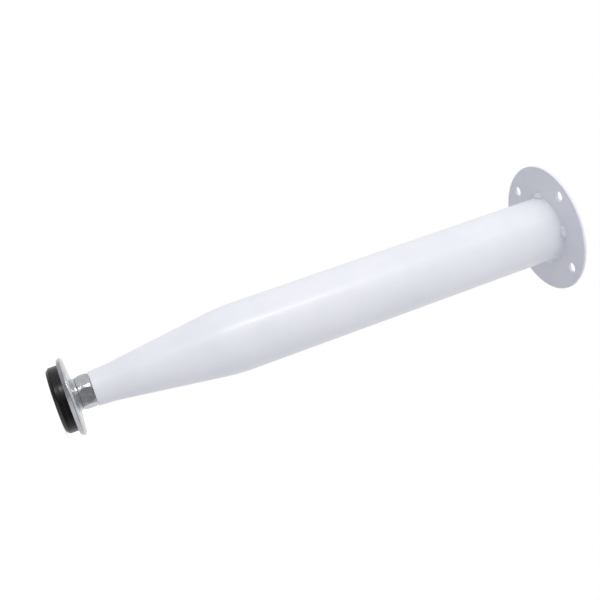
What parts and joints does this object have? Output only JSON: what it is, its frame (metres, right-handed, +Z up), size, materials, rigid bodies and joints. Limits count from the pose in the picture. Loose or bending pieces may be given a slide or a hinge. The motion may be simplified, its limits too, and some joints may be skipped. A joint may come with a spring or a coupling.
{
  "type": "adjustable furniture leg",
  "caption": "Round tapered steel furniture leg with a screw-on flange at the top and a screw-adjustable levelling foot with a rubber pad.",
  "frame": {"origin": "centre of the rubber pad's underside, on the floor, with the foot screwed fully in", "axes": "+Z up the leg's axis to the flange; +X and +Y each run through one screw hole of the flange"},
  "size_m": [0.1, 0.1, 0.392],
  "materials": {
    "white_powder_coat": "semi-gloss powder coat",
    "bright_zinc": "bright zinc plating",
    "plain_steel": "plain turned steel",
    "black_rubber": "semi-matte moulded rubber"
  },
  "bodies": {
    "foot": {"foot_plate": "bright_zinc", "retaining_disc": "bright_zinc", "foot_pad": "black_rubber"},
    "leg": {"leg_tube": "white_powder_coat", "mounting_flange": "white_powder_coat", "weld_tack_1": "white_powder_coat", "weld_tack_2": "white_powder_coat", "weld_tack_3": "white_powder_coat", "weld_tack_4": "white_powder_coat", "threaded_insert": "plain_steel"},
    "screw": {"levelling_screw": "bright_zinc", "adjusting_nut": "bright_zinc"}
  },
  "joints": [
    {"name": "leg_height", "type": "slide", "parent": "foot", "child": "leg", "axis": [0, 0, 1], "range_m": [0, 0.025]},
    {"name": "screw_turn", "type": "hinge", "parent": "foot", "child": "screw", "pos_m": [0, 0, 0.0163], "axis": [0, 0, -1], "range_deg": [0, 4500]}
  ],
  "couplings": [
    {"joint": "screw_turn", "follows": "leg_height", "rad_per_m": 3141.6}
  ]
}
